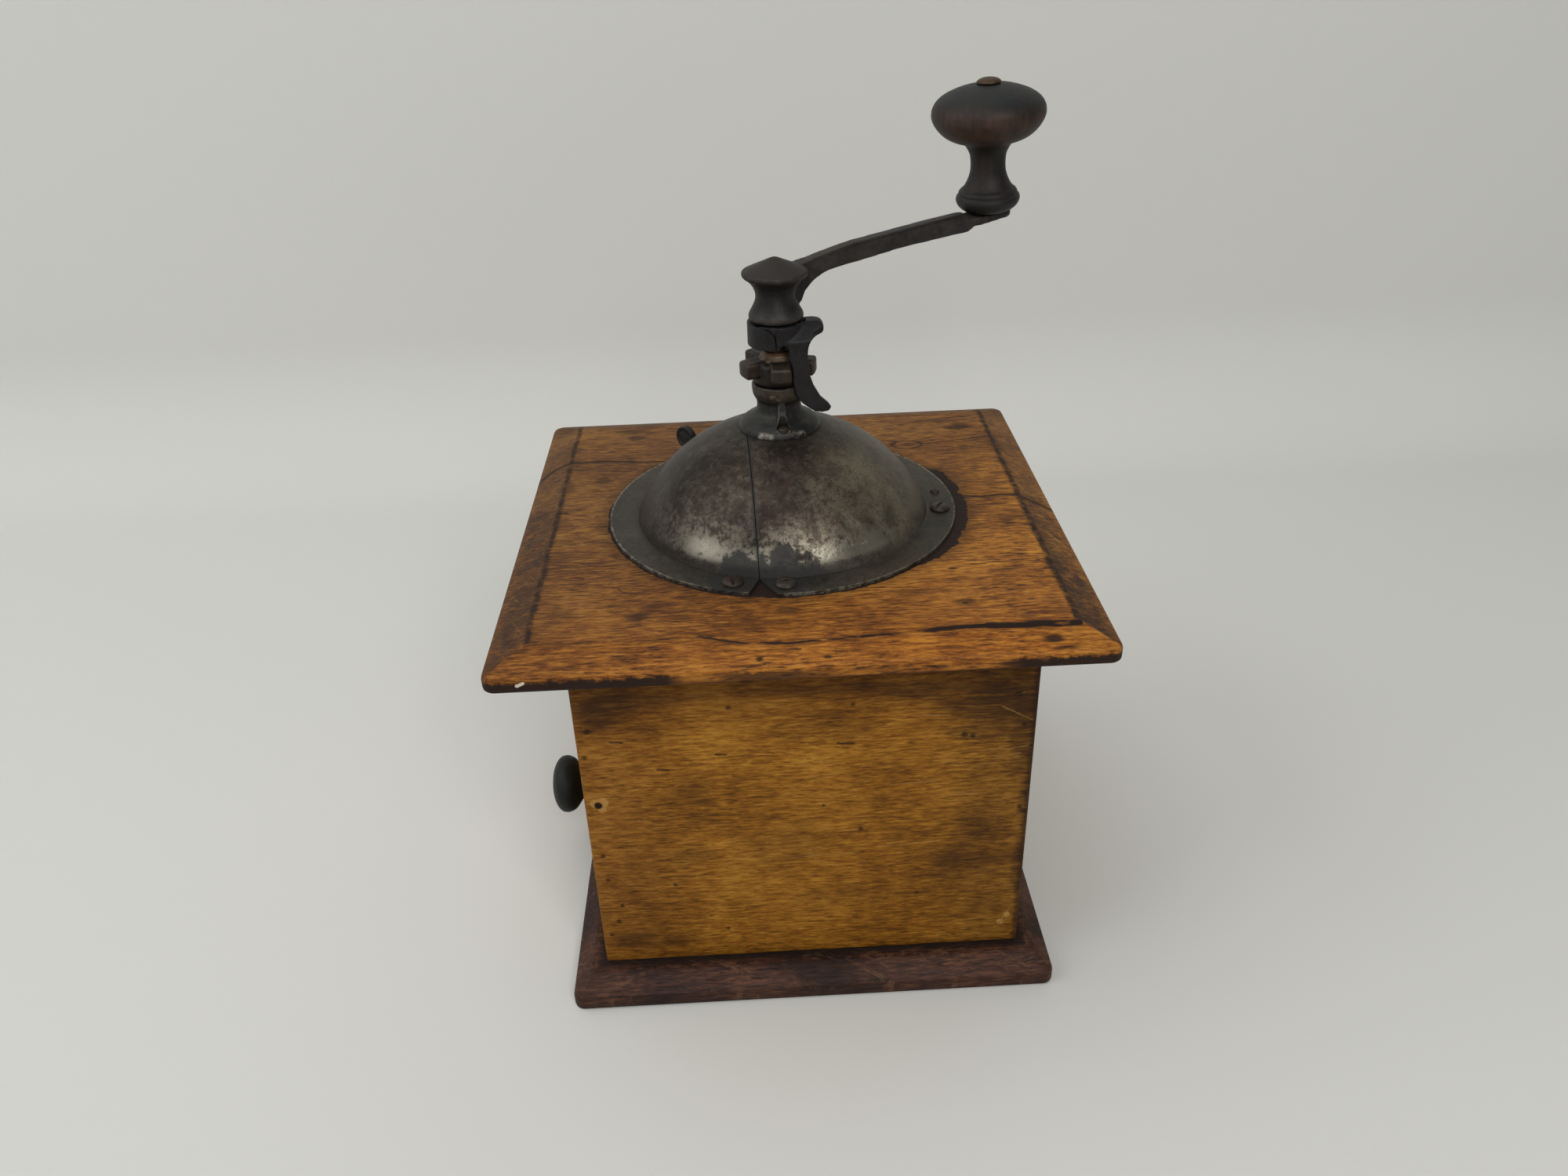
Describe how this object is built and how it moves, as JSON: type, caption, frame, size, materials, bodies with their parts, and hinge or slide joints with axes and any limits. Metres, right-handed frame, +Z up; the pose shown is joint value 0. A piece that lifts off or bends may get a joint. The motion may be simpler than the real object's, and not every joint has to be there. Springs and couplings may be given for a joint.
{
  "type": "box coffee grinder",
  "caption": "Old hand coffee grinder: wooden box with drawer, iron dome hopper with turning shutter, burrs on a vertical spindle, and a crank with turned wooden knob.",
  "frame": {"origin": "middle of the case walls on the underside of the base board", "axes": "+Z up along the spindle, the drawer opens towards -X, the side seen in the picture faces -Y"},
  "size_m": [0.1556, 0.151, 0.2316],
  "materials": {
    "base_wood": "dark stained beech, worn",
    "panel_wood": "old varnished beech, ochre",
    "deck_wood": "old varnished beech, orange brown",
    "drawer_wood": "bare",
    "dark_wood": "black stained, turned",
    "cast_iron": "dark, worn",
    "burr_iron": "bare",
    "dome_sheet": "tarnished sheet iron",
    "spindle_steel": "worn",
    "fastener": "rusted"
  },
  "bodies": {
    "case": {"base_board": "base_wood", "base_nails": "fastener", "side_panel_near": "panel_wood", "side_panel_far": "panel_wood", "end_panel": "panel_wood", "front_rail": "panel_wood", "deck": "deck_wood", "deck_nails": "fastener", "burr_housing": "cast_iron", "housing_screws": "fastener", "ring_burr": "burr_iron", "bridge": "cast_iron", "bridge_screws": "fastener", "dome_right": "dome_sheet", "dome_left": "dome_sheet", "dome_screws": "fastener", "dome_pin": "fastener", "neck_casting": "cast_iron", "neck_rivets": "fastener"},
    "drawer": {"drawer_front": "panel_wood", "drawer_side_near": "drawer_wood", "drawer_side_far": "drawer_wood", "drawer_back": "drawer_wood", "drawer_bottom": "drawer_wood", "drawer_pins": "fastener", "drawer_knob": "dark_wood", "drawer_knob_screw": "fastener"},
    "shutter": {"shutter": "dome_sheet", "shutter_tab": "cast_iron"},
    "crank": {"spindle": "spindle_steel", "grinding_cone": "burr_iron", "adjusting_nut": "cast_iron", "collar": "cast_iron", "crank_arm": "cast_iron", "knob_rivet": "spindle_steel", "latch_pin": "spindle_steel"},
    "latch": {"latch": "cast_iron"},
    "knob": {"crank_knob": "dark_wood"}
  },
  "joints": [
    {"name": "drawer_slide", "type": "slide", "parent": "case", "child": "drawer", "axis": [-1, 0, 0], "range_m": [0, 0.095]},
    {"name": "shutter_turn", "type": "hinge", "parent": "case", "child": "shutter", "pos_m": [-0.0028, 0, 0.148], "axis": [0, 0, -1], "range_deg": [0, 85]},
    {"name": "crank_spin", "type": "hinge", "parent": "case", "child": "crank", "pos_m": [-0.0028, 0, 0.16], "axis": [0, 0, 1], "continuous": true},
    {"name": "latch_lift", "type": "hinge", "parent": "crank", "child": "latch", "pos_m": [0.0048, 0, 0.1764], "axis": [0, -1, 0], "range_deg": [0, 30]},
    {"name": "knob_spin", "type": "hinge", "parent": "crank", "child": "knob", "pos_m": [0.06062, 0.04278, 0.194], "axis": [-0.0521, -0.0351, 0.998], "continuous": true}
  ]
}
